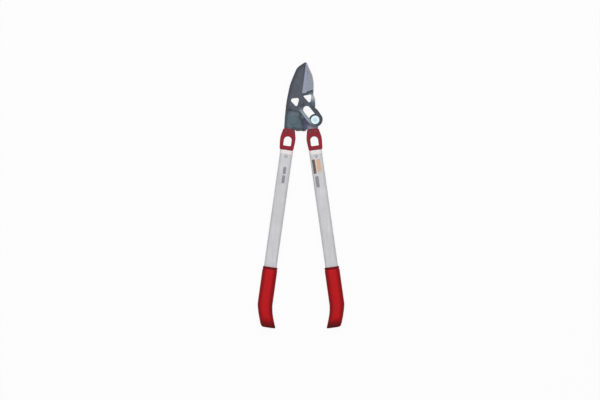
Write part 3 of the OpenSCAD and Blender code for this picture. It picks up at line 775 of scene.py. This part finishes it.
# Painted shade along the outline
grey = darken_rim(add, grey, 0.6, "#1f2a31")
pale_and_painted_light = add("Attribute", {}, attribute_name="pale_and_painted_light")
grey = add("Mix", {0: (pale_and_painted_light, "Fac"), 6: (grey, 2), 7: srgb("#8d8797")})
colour = rub_edges(add, grey, cloud, 0.6, "#666d78")
dents = add("TexNoise", {"Vector": place, "Scale": 1 / (1.4 * MM), "Detail": 3})
finish_material(
    add, colour, {"Specular IOR Level": 0.3},
    rough=(cloud, 0.48, 0.64), bump=(dents, 0.35, 0.15),
)

bm = bmesh.new()
add_plate(bm, outlines("lever", tang_cut), lever_low, tang_top, tang_low_r, 0)
arm_loops = outlines("lever", arm_cut)
add_plate(bm, arm_loops, tang_top, lever_top, 0, lever_top_r, lever_hole_r)
# Painted shade along the arm's outline, left out at the shoulder beside the coupling
shade_rim(bm, arm_loops[:1], rim_reach, lambda at: at.y < lever_rub_from.y)
pale_and_painted_light = bm.verts.layers.float.new("pale_and_painted_light")
for v in bm.verts:
    at = v.co.xy / MM - main_pivot
    across = ease((at.x - lever_rub_from.x) / lever_rub_fade.x)
    v[pale_and_painted_light] = across * ease((lever_rub_from.y - at.y) / lever_rub_fade.y)
make_piece("lever_arm", bm, [coated_forging], "drive_side", ["lever"])

bm = bmesh.new()
add_turned(bm, lever_pivot, ring_profile(
    pin_r + bush_clear, lever_bush_r, lever_bush_low, lever_bush_top, bush_soft,
))
make_piece("lever_pivot_bush", bm, [sintered_bronze], "drive_side", ["lever_bush"])

bm = bmesh.new()
add_turned(bm, lever_pivot, [
    (axis_r, pin_low), *((pin_head_r - set_in, pin_low + up) for set_in, up in pin_dome),
    (pin_head_r, pin_low + pin_head_h), (pin_r, pin_low + pin_head_h),
    (pin_r, pin_top - pin_chamfer), (pin_r - pin_chamfer, pin_top),
    (pin_centre_r, pin_top), (axis_r, pin_top - pin_chamfer),
])
make_piece(
    "lever_pivot_pin", bm, [black_oxide], "anvil_side", ["lever_pin"], crease=30,
)

bm = bmesh.new()
add_turned(bm, lever_pivot, ring_profile(
    pin_r, pin_washer_r, pin_washer_low, pin_washer_top, washer_soft,
))
make_piece(
    "lever_pivot_washer", bm, [black_oxide], "anvil_side", ["lever_pin_washer"],
)

# Slot drive: a hard steel pin in the lever carries a roller that runs in the blade's slot. A broad
# zinc-plated washer covers the roller, and a snap ring holds it on the pin.
drive_low, drive_top = heights("drive_pin")
roller_low, roller_top = heights("drive_roller")
roller_r = radius("drive_roller")
cover_low, cover_top = heights("drive_washer")
cover_r = radius("drive_washer")
clip_low, clip_top = heights("drive_clip")
clip_r = radius("drive_clip")
clip_gap = math.radians(50)
clip_clear = 0.1
clip_steps = 48
drive_chamfer = 0.7
drive_centre_r = 1.2
roller_soft, cover_soft, clip_soft = 0.5, 0.35, 0.25

# Zinc plate: pale bluish white and half bright, with a frosty spangle of soft patches
zinc_plate, add, place = new_material("zinc_plated_steel")
spangle = add("TexVoronoi", {"Vector": place, "Scale": 1 / (2.5 * MM)})
cloud = add("TexNoise", {"Vector": place, "Scale": 1 / (5 * MM), "Detail": 3})
shade = add("Math", {0: (spangle, "Color"), 1: cloud}, operation="MULTIPLY")
colour = add("Mix", {0: shade, 6: srgb("#abbdc2"), 7: srgb("#b9cacf")})
finish_material(add, colour, {"Metallic": 0.85}, rough=(shade, 0.38, 0.52), bump=(cloud, 0.1, 0.05))

bm = bmesh.new()
add_turned(bm, drive_at, [
    (axis_r, drive_low), (pin_r, drive_low), (pin_r, drive_top - drive_chamfer),
    (pin_r - drive_chamfer, drive_top), (drive_centre_r, drive_top),
    (axis_r, drive_top - drive_chamfer),
])
make_piece("roller_pin", bm, [zinc_plate], "drive_side", ["drive_pin"], crease=30)

bm = bmesh.new()
add_turned(bm, drive_at, ring_profile(
    pin_r + bush_clear, roller_r, roller_low, roller_top, roller_soft,
))
make_piece(
    "slot_roller", bm, [turned_steel], "roller", ["drive_roller"], crease=30,
)

bm = bmesh.new()
add_turned(bm, drive_at, ring_profile(pin_r, cover_r, cover_low, cover_top, cover_soft), sides=64)
make_piece("roller_cover", bm, [zinc_plate], "drive_side", ["drive_washer"])

bm = bmesh.new()
sweep = [clip_gap / 2 + (math.tau - clip_gap) * i / clip_steps for i in range(clip_steps + 1)]
turn = [Vector((math.cos(a), math.sin(a))) for a in sweep]
clip_loop = [drive_at + clip_r * out for out in turn]
clip_loop += [drive_at + (pin_r + clip_clear) * out for out in reversed(turn)]
add_plate(bm, [clip_loop], clip_low, clip_top, clip_soft, clip_soft)
make_piece("snap_ring", bm, [zinc_plate], "drive_side", ["drive_clip"], crease=30)

# Couplings: moulded shoes that join each handle tube to the jaws, with an arched window to hang
# the tool by. Glass-filled nylon, riveted through the steel tang above and plugged into the tube.
sides = {"left": (-1, "anvil_side"), "right": (1, "drive_side")}
handle_tilt = math.radians(8)
shoulder = Vector((32, main_pivot.y - 72))
coupling_l = 60
coupling_top = 24
coupling_cut = 2
coupling_low_r, coupling_top_r, coupling_hole_r = 1, 2.4, 0.8
coupling_rivets = ((-7.8, -8), (7.8, -8))
rivet_seat_r = 4.6
rivet_seat_sides = 32
rivet_head_r = 4.4
rivet_r = 3
rivet_half = (
    (axis_r, 0), (rivet_head_r - 1, 0), (rivet_head_r, 0.6), (rivet_head_r, 1.4), (rivet_r, 1.6),
)
flush_setback = 0.4
tube_w = 36
tube_t = 18
tube_wall = 1.5
handle_z = 14
spigot_l = 34
spigot_clear = 0.2
window_bar = 12

# Glass-filled nylon: dull deep red, with a fine spark-eroded texture and pale fibre streaks near
# its surface
filled_nylon, add, place = new_material("red_filled_nylon")
streak = add("Mapping", {"Vector": place, "Scale": (1, 0.3, 1)})
fibre = add("TexNoise", {"Vector": streak, "Scale": 1 / (1.5 * MM), "Detail": 4})
red = add("Mix", {0: fibre, 6: srgb("#821223"), 7: srgb("#a52538")})
colour = rub_edges(add, red, fibre, 0.3, "#a14c57")
spark = add("TexNoise", {"Vector": place, "Scale": 1 / (0.8 * MM), "Detail": 2})
finish_material(
    add, colour, {"IOR": 1.53, "Specular IOR Level": 0.2},
    rough=(fibre, 0.48, 0.62), bump=(spark, 0.35, 0.1),
)

# Red lacquer on steel: the rivets are sprayed with the couplings' red, smoother and a little darker
red_lacquer, add, place = new_material("red_lacquered_steel")
cloud = add("TexNoise", {"Vector": place, "Scale": 1 / (2 * MM), "Detail": 3})
red = add("Mix", {0: cloud, 6: srgb("#571019"), 7: srgb("#76222d")})
colour = rub_edges(add, red, cloud, 0.3, "#9a8f92")
finish_material(add, colour, {"Specular IOR Level": 0.3}, rough=(cloud, 0.34, 0.5))


def on_handle(side, x, y):
    """Place in mm of a point of the right handle's own plan, or of its mirror image on the left."""
    turned = Vector((x, y))
    turned.rotate(Matrix.Rotation(handle_tilt, 2))
    placed = shoulder + turned
    return Vector((side * placed.x, placed.y))


def flat_oval(width, height, steps=16):
    """Points of a flat oval with round ends, across the handle and up."""
    points = []
    for end in (1, -1):
        for i in range(steps + 1):
            a = (i / steps - 0.5) * math.pi
            x = (width - height) / 2 + height / 2 * math.cos(a)
            points.append(Vector((end * x, end * height / 2 * math.sin(a))))
    return points


def add_bar(bm, side, stations):
    """Adds a closed bar along the handle to bm, through rings of points at places down it."""
    rings = [
        [bm.verts.new((*(on_handle(side, p.x, y) * MM), (handle_z + p.y) * MM)) for p in points]
        for y, points in stations
    ]
    join_rings(bm, rings)
    bm.faces.new(rings[0][::-1])
    bm.faces.new(rings[-1])


for name, (side, body) in sides.items():
    bm = bmesh.new()
    outer, window = outlines(f"{name}_coupling", coupling_cut)[:2]
    turn = [-math.tau * i / rivet_seat_sides for i in range(rivet_seat_sides)]
    seats = [
        [on_handle(side, x, y) + rivet_seat_r * Vector((math.cos(a), math.sin(a))) for a in turn]
        for x, y in coupling_rivets
    ]
    add_plate(
        bm, [outer, window, *seats], 0, coupling_top,
        coupling_low_r, coupling_top_r, coupling_hole_r,
    )
    bore = 2 * tube_wall + spigot_clear
    spigot = flat_oval(tube_w - bore, tube_t - bore)
    add_bar(bm, side, [(window_bar / 2 - coupling_l, spigot), (-coupling_l - spigot_l, spigot)])
    make_piece(f"{name}_shoe", bm, [filled_nylon], body, [f"{name}_coupling"])

    bm = bmesh.new()
    top = coupling_top - flush_setback
    for x, y in coupling_rivets:
        add_turned(bm, on_handle(side, x, y), [
            *((r, flush_setback + z) for r, z in rivet_half),
            *((r, top - z) for r, z in rivet_half[::-1]),
        ], sides=32)
    cad_node = f"{name}_coupling_rivets"
    make_piece(f"{name}_shoe_rivets", bm, [red_lacquer], body, [cad_node])

# Handle tubes: flat-oval extruded aluminium with a pale silver powder coat. A pale nylon collar is
# pushed on at the coupling, one rivet pins the tube to the spigot, and a plug closes its far end.
collar_l = 11
collar_h = 0.5
collar_gap = 0.3
collar_clear = 0.05
collar_lead, collar_tail = 0.6, 0.8
tube_rivet_y = -coupling_l - spigot_l / 2
tube_rivet_head_r = 5
tube_rivet_head_h = 1.2
tube_rivet_half = (
    (axis_r, 0), (tube_rivet_head_r - 1.5, 0.2), (tube_rivet_head_r, tube_rivet_head_h - 0.2),
    (tube_rivet_head_r, tube_rivet_head_h), (rivet_r, tube_rivet_head_h),
)

# Silver powder coat: light and even, with a soft orange peel and the faint long lines of the
# extruded tube under it
powder_coat, add, place = new_material("silver_powder_coat")
long = add("Mapping", {"Vector": place, "Scale": (1, 0.02, 1)})
lines = add("TexNoise", {"Vector": long, "Scale": 1 / (3 * MM), "Detail": 3})
cloud = add("TexNoise", {"Vector": place, "Scale": 1 / (30 * MM), "Detail": 4})
shade = add("Math", {0: lines, 1: cloud}, operation="MULTIPLY")
shade = add("MapRange", {"Value": shade, "From Min": 0.1, "From Max": 0.42})
colour = add("Mix", {0: shade, 6: srgb("#d0cfd3"), 7: srgb("#e4e3e6")})
peel = add("TexNoise", {"Vector": place, "Scale": 1 / (1.1 * MM), "Detail": 1})
finish_material(
    add, colour, {"Specular IOR Level": 0.35},
    rough=(cloud, 0.34, 0.46), bump=(peel, 0.2, 0.08),
)

# Plain aluminium: grey-white and soft, dulled by handling
plain_aluminium, add, place = new_material("plain_aluminium")
cloud = add("TexNoise", {"Vector": place, "Scale": 1 / (3 * MM), "Detail": 4})
colour = add("Mix", {0: cloud, 6: srgb("#8d8f93"), 7: srgb("#a3a4a8")})
finish_material(add, colour, {"Metallic": 0.8}, rough=(cloud, 0.4, 0.55), bump=(cloud, 0.1, 0.1))

# Moulded black polythene: waxy and nearly black
black_plastic, add, place = new_material("black_polythene")
grain = add("TexNoise", {"Vector": place, "Scale": 1 / (1 * MM), "Detail": 3})
colour = add("Mix", {0: grain, 6: srgb("#1d1d20"), 7: srgb("#303034")})
finish_material(add, colour, {"IOR": 1.51}, rough=(grain, 0.55, 0.55), bump=(grain, 0.3, 0.1))

# Pale nylon: the collar's milky white, faintly cloudy, with a soft shine
pale_nylon, add, place = new_material("pale_nylon")
cloud = add("TexNoise", {"Vector": place, "Scale": 1 / (8 * MM), "Detail": 3})
colour = add("Mix", {0: cloud, 6: srgb("#f5eced"), 7: srgb("#fffafb")})
finish_material(add, colour, {"IOR": 1.53, "Specular IOR Level": 0.35}, rough=(cloud, 0.42, 0.54))

for name, (side, body) in sides.items():
    for cad_node, material in ((f"{name}_tube", powder_coat), (f"{name}_tube_plug", black_plastic)):
        mesh = frame["nodes"][cad_node].data
        mesh.materials.clear()
        mesh.materials.append(material)

    bm = bmesh.new()
    top = -coupling_l - collar_gap
    swell = flat_oval(tube_w + 2 * collar_h, tube_t + 2 * collar_h)
    flush = flat_oval(tube_w + collar_clear, tube_t + collar_clear)
    add_bar(bm, side, [
        (top, flush), (top - collar_lead, swell),
        (top - collar_l + collar_tail, swell), (top - collar_l, flush),
    ])
    make_piece(f"{name}_tube_collar", bm, [pale_nylon], body, [], crease=50)

    bm = bmesh.new()
    low = handle_z - tube_t / 2 - tube_rivet_head_h
    high = handle_z + tube_t / 2 + tube_rivet_head_h
    add_turned(bm, on_handle(side, 0, tube_rivet_y), [
        *((r, low + z) for r, z in tube_rivet_half),
        *((r, high - z) for r, z in tube_rivet_half[::-1]),
    ], sides=36)
    cad_node = f"{name}_tube_rivet"
    make_piece(f"{name}_tube_pin", bm, [plain_aluminium], body, [cad_node])

# Stripes: plain bars printed on the upper side of the tubes, brown and apricot over grey on the
# right and grey on the left. Thin screen ink on the powder coat, rubbed by use.
ink_t = 0.1
stripe_parts = 12
# Each bar: its ink, from and to across the tube, from and to along the handle
stripes = {
    "left": (("grey", -6, 2, -128, -108), ("grey", -6, 2, -154, -132)),
    "right": (
        ("brown", -13.5, -5.5, -126, -86), ("apricot", -2, 10, -122, -86),
        ("grey", -11, -2, -165, -134),
    ),
}
inks = {
    "brown": ("#5d4538", "#7b6253"), "apricot": ("#dcb293", "#efcbb0"),
    "grey": ("#84848a", "#a2a2a7"),
}
ink_materials = {}
for ink, (dark, light) in inks.items():
    # Screen ink: thin and matt, worn through in specks where hands and branches rub it
    ink_materials[ink], add, place = new_material(f"{ink}_screen_ink")
    cloud = add("TexNoise", {"Vector": place, "Scale": 1 / (6 * MM), "Detail": 5})
    colour = add("Mix", {0: cloud, 6: srgb(dark), 7: srgb(light)})
    specks = add("TexNoise", {"Vector": place, "Scale": 1 / (1.6 * MM), "Detail": 4})
    bare_and_lit = add("MapRange", {"Value": specks, "From Min": 0.6, "From Max": 0.7, "To Max": 0.8})
    colour = add("Mix", {0: bare_and_lit, 6: (colour, 2), 7: srgb("#d6d5d8")})
    finish_material(add, colour, {"Specular IOR Level": 0.3}, rough=(cloud, 0.5, 0.64))


def tube_height(x):
    """Height of the tube's upper side above its axis at a place x across it."""
    past = max(0, abs(x) - (tube_w - tube_t) / 2) / (tube_t / 2)
    return tube_t / 2 * math.sqrt(1 - past * past)


for name, bars in stripes.items():
    side, body = sides[name]
    for i, (ink, left, right, low, high) in enumerate(bars):
        bm = bmesh.new()
        across = [left + (right - left) * k / stripe_parts for k in range(stripe_parts + 1)]
        ring = [Vector((x, tube_height(x) + ink_t)) for x in across]
        ring += [Vector((x, tube_height(x) - ink_t)) for x in across[::-1]]
        add_bar(bm, side, [(y, ring) for y in (high, low)])
        make_piece(f"{name}_stripe_{i}", bm, [ink_materials[ink]], body, [])

# Grips: thick soft sleeves dipped over the tubes, with a bead round the mouth and a flared end that
# turns inwards, so that a pulling hand can't slip off. Satin red vinyl, darkened by painted shade
# at the ends, the sides and the inside of the turn.
grip_low_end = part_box("right_grip")[0].y / MM
grip_l = 174
grip_w = 42.5
grip_t = 28
grip_sweep = 18.5
grip_top = (shoulder.y - grip_low_end - grip_l) / math.cos(handle_tilt)
turn_at = 0.62
neck_share = 0.97
end_reach = grip_sweep + neck_share * grip_w / 2
grip_run = (grip_l - end_reach * math.sin(handle_tilt)) / math.cos(handle_tilt)
neck_over = 0.16
sweep_power = 1.45
oval_power = 2.2
end_drop = 0.2
end_drop_from = 0.82
grip_sides = 72
tube_power = 4
# Painted shade on the grip at the mouth, the end, the sides and the inside of the turn: how dark,
# from where, and over what length it changes
mouth_shade, mouth_shade_ends, mouth_shade_fade = 0.75, 0.03, 0.025
end_shade, end_shade_from, end_shade_over = 0.85, 0.8, 0.18
side_shade, side_shade_from, side_shade_over = 0.5, 0.3, 0.45
turn_shade, turn_shade_from, turn_shade_over = 0.6, 0.55, 0.3


def soft_oval(power):
    """Points round an oval of half width and half height 1. A higher power makes it squarer."""
    for i in range(grip_sides):
        a = math.tau * i / grip_sides
        yield [math.copysign(abs(c) ** (2 / power), c) for c in (math.cos(a), math.sin(a))]


def grip_middle(s):
    """Place across the handle of the grip's middle at a share s of its length."""
    past = max(0, (s - turn_at) / (1 - turn_at))
    return -grip_sweep * past ** sweep_power


def grip_ring(s, depth, nose=0):
    """Ring of the grip at a share s of its length, set in by a depth in mm. The nose rounds off the
    outer corner of the end by that many mm more."""
    half_w = grip_w / 2 * (1 - (1 - neck_share) * ease((s - turn_at) / neck_over))
    half_t = grip_t / 2 * (1 - end_drop * ease((s - end_drop_from) / (1 - end_drop_from)))
    return [
        (grip_middle(s) + x * (half_w - (depth + nose * max(0, x) ** 2)), z * (half_t - depth))
        for x, z in soft_oval(oval_power)
    ]


def tube_ring(clear):
    """Ring round the tube with as many points as a grip ring, at a clearance from it."""
    return [(x * (tube_w / 2 + clear), z * (tube_t / 2 + clear)) for x, z in soft_oval(tube_power)]


def grip_shade(s, x):
    """Painted shade of the grip at a share s of its length and a place x across it, from 0 to 1."""
    aside = (grip_middle(s) - x) / (grip_w / 2)
    inner = max(0, min(1, aside))
    at_mouth = mouth_shade * (1 - ease((s - mouth_shade_ends) / mouth_shade_fade))
    at_end = (end_shade + (1 - end_shade) * inner) * ease((s - end_shade_from) / end_shade_over)
    at_side = side_shade * ease((abs(aside) - side_shade_from) / side_shade_over)
    at_turn = turn_shade * ease((s - turn_at) / turn_shade_over)
    at_turn *= max(0, inner - turn_shade_from) / (1 - turn_shade_from)
    return max(at_mouth, at_end, at_turn, at_side)


# Soft vinyl: saturated red with a satin skin, a fine leathery grain and a faint bloom, and painted
# shade in a dark wine red at the mouth, the sides, the inside of the turn and the flared end
soft_vinyl, add, place = new_material("red_soft_vinyl")
cloud = add("TexNoise", {"Vector": place, "Scale": 1 / (22 * MM), "Detail": 5})
red = add("Mix", {0: cloud, 6: srgb("#ba0b13"), 7: srgb("#d5171f")})
# Painted shade, mixed in by the layer that the grip's rings carry
painted_shade = add("Attribute", {}, attribute_name="painted_shade")
patchy = add("MapRange", {"Value": cloud, "To Min": 0.75, "To Max": 1.25})
painted_shade_share = add("Math", {0: (painted_shade, "Fac"), 1: patchy}, operation="MULTIPLY", use_clamp=True)
colour = add("Mix", {0: painted_shade_share, 6: (red, 2), 7: srgb("#43070c")})
grain = add("TexVoronoi", {"Vector": place, "Scale": 1 / (1.3 * MM)})
finish_material(
    add, colour, {"IOR": 1.53, "Specular IOR Level": 0.12},
    rough=(cloud, 0.4, 0.54), bump=(grain, 0.2, 0.1),
)

# Stations down the grip: a share of its length, how far it is set in there, and the nose, in mm
mouth = [(s, tube_ring(clear)) for s, clear in ((0.03, 0.2), (0.001, 0.2), (0, 0.8))]
bead = [
    (0, 3), (0.002, 1.6), (0.007, 0.7), (0.013, 0.3), (0.026, 0.3), (0.032, 0.8), (0.036, 1.3),
    (0.042, 1.3), (0.047, 0.8), (0.054, 0.2),
]
sleeve_from, sleeve_run, sleeve_set_in, parts = 0.08, 0.86, 0.06, 60
sleeve = [(sleeve_from + sleeve_run * i / parts, sleeve_set_in) for i in range(parts + 1)]
end = [
    (0.96, 0.06, 0.2), (0.975, 0.15, 0.5), (0.985, 0.3, 0.9), (0.993, 0.7, 1.5), (0.998, 1.2, 2.2),
    (1, 2, 3),
]
for name, (side, body) in sides.items():
    bm = bmesh.new()
    stations = mouth + [(s, grip_ring(s, *set_in)) for s, *set_in in bead + sleeve + end]
    # Each point carries its painted shade
    painted_shade = bm.verts.layers.float.new("painted_shade")
    rings = []
    for s, ring in stations:
        down = -grip_top - s * grip_run
        verts = [
            bm.verts.new((*(on_handle(side, x, down) * MM), (handle_z + z) * MM)) for x, z in ring
        ]
        for v, (x, z) in zip(verts, ring):
            v[painted_shade] = grip_shade(s, x)
        rings.append(verts)
    join_rings(bm, rings)
    bm.faces.new(rings[-1])
    bm.faces.new(rings[0][::-1])
    make_piece(f"{name}_sleeve", bm, [soft_vinyl], body, [f"{name}_grip"], crease=50)
